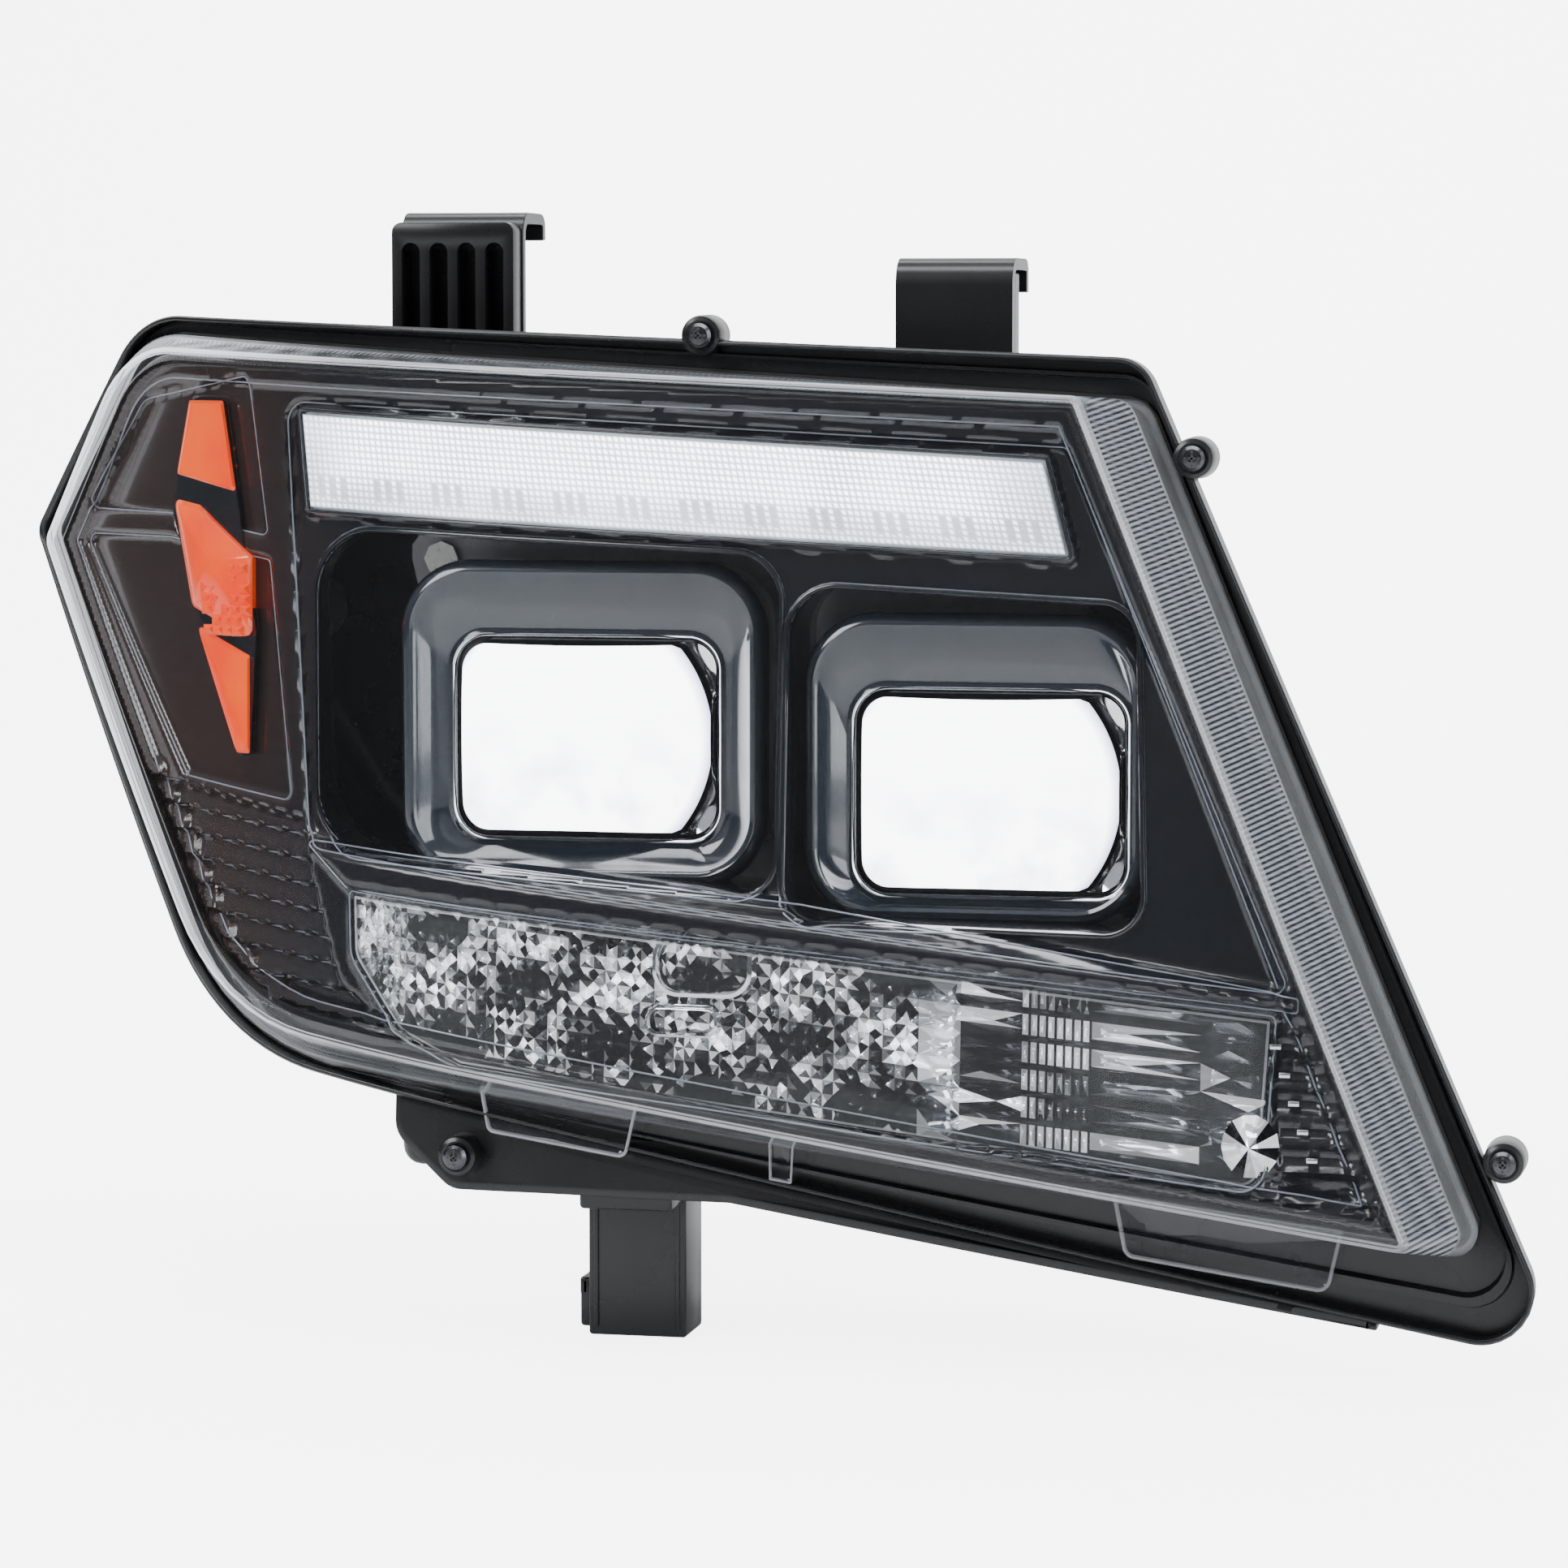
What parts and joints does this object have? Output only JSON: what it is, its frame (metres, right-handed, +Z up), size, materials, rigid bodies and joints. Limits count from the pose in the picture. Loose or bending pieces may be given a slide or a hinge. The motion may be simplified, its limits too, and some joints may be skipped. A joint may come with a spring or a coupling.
{
  "type": "car headlight assembly",
  "caption": "Right-hand wrap-around car headlight: clear lens over twin LED projectors, daytime bar, turn section and amber side marker, in a black hooked housing.",
  "frame": {"origin": "centre of the flat foot under the lower mounting leg", "axes": "+X to the inboard side of the car, -Y forward along the beam, +Z up"},
  "size_m": [0.5501, 0.2237, 0.3815],
  "materials": {
    "matte_black_plastic": "moulded, matte",
    "gloss_black_plastic": "piano black gloss",
    "clear_polycarbonate": "clear hard-coated",
    "light_guide": "clear with a fine grid optic, lit white",
    "projector_glass": "polished, lit white",
    "amber_lens": "transparent amber",
    "amber_bulb_glass": "amber-coated glass",
    "chrome_reflector": "vacuum metallised",
    "cast_aluminium": "die cast, satin",
    "zinc_steel": "zinc plated",
    "seal_rubber": "matte",
    "white_nylon": "moulded",
    "grey_nylon": "moulded",
    "circuit_board": "white solder mask"
  },
  "bodies": {
    "housing": {"housing_shell": "matte_black_plastic", "outer_lens": "clear_polycarbonate", "lens_seal": "seal_rubber", "bezel": "gloss_black_plastic", "drl_lens": "light_guide", "drl_tray": "white_nylon", "drl_led_board": "circuit_board", "turn_lens": "clear_polycarbonate", "turn_reflector": "chrome_reflector", "marker_lens": "amber_lens", "marker_reflector": "chrome_reflector", "lens_screw_1": "zinc_steel", "lens_screw_2": "zinc_steel", "lens_screw_3": "zinc_steel", "lens_screw_4": "zinc_steel", "pivot_socket_outer": "white_nylon", "pivot_socket_inner": "white_nylon", "adjuster_bush": "white_nylon", "driver_module": "cast_aluminium", "driver_screw_lower": "zinc_steel", "driver_screw_upper": "zinc_steel", "cable_grommet": "seal_rubber", "harness_cable": "seal_rubber", "harness_connector": "grey_nylon", "vent_cap_outer": "seal_rubber", "vent_cap_inner": "seal_rubber"},
    "carrier": {"projector_carrier": "grey_nylon", "ball_stud_outer": "zinc_steel", "ball_stud_inner": "zinc_steel", "adjuster_nut": "white_nylon", "low_shroud": "gloss_black_plastic", "low_projector_lens": "projector_glass", "low_projector_body": "cast_aluminium", "low_led_board": "circuit_board", "low_heatsink": "cast_aluminium", "low_fan_frame": "matte_black_plastic", "high_shroud": "gloss_black_plastic", "high_projector_lens": "projector_glass", "high_projector_body": "cast_aluminium", "high_led_board": "circuit_board", "high_heatsink": "cast_aluminium", "high_fan_frame": "matte_black_plastic"},
    "low_fan": {"low_fan_rotor": "matte_black_plastic"},
    "high_fan": {"high_fan_rotor": "matte_black_plastic"},
    "adjuster": {"adjuster_screw": "zinc_steel", "adjuster_knob": "grey_nylon"},
    "low_cap": {"low_rear_cap": "matte_black_plastic", "low_cap_seal": "seal_rubber"},
    "high_cap": {"high_rear_cap": "matte_black_plastic", "high_cap_seal": "seal_rubber"},
    "turn_socket": {"turn_socket": "grey_nylon", "turn_socket_seal": "seal_rubber", "turn_bulb": "amber_bulb_glass"},
    "marker_socket": {"marker_socket": "grey_nylon", "marker_socket_seal": "seal_rubber", "marker_bulb": "amber_bulb_glass"}
  },
  "joints": [
    {"name": "carrier_tilt", "type": "hinge", "parent": "housing", "child": "carrier", "pos_m": [0.025, 0.04, 0.262], "axis": [1, 0, 0], "range_deg": [-3.5, 3.5]},
    {"name": "adjuster_turn", "type": "hinge", "parent": "housing", "child": "adjuster", "pos_m": [0.052, 0.1, 0.165], "axis": [0, 1, 0], "range_deg": [-630, 630]},
    {"name": "low_fan_spin", "type": "hinge", "parent": "carrier", "child": "low_fan", "pos_m": [-0.018, 0.0775, 0.2035], "axis": [0, 1, 0], "continuous": true},
    {"name": "high_fan_spin", "type": "hinge", "parent": "carrier", "child": "high_fan", "pos_m": [0.1227, 0.0645, 0.1883], "axis": [0, 1, 0], "continuous": true},
    {"name": "low_cap_twist", "type": "hinge", "parent": "housing", "child": "low_cap", "pos_m": [-0.018, 0.122, 0.2035], "axis": [0, 1, 0], "range_deg": [0, 40]},
    {"name": "high_cap_twist", "type": "hinge", "parent": "housing", "child": "high_cap", "pos_m": [0.1227, 0.122, 0.1883], "axis": [0, 1, 0], "range_deg": [0, 40]},
    {"name": "turn_socket_twist", "type": "hinge", "parent": "housing", "child": "turn_socket", "pos_m": [0.028, 0.026, 0.112], "axis": [0, 1, 0], "range_deg": [0, 45]},
    {"name": "marker_socket_twist", "type": "hinge", "parent": "housing", "child": "marker_socket", "pos_m": [-0.15, 0.12, 0.24], "axis": [0, 1, 0], "range_deg": [0, 45]}
  ],
  "couplings": [
    {"joint": "adjuster_turn", "follows": "carrier_tilt", "ratio": -180}
  ]
}
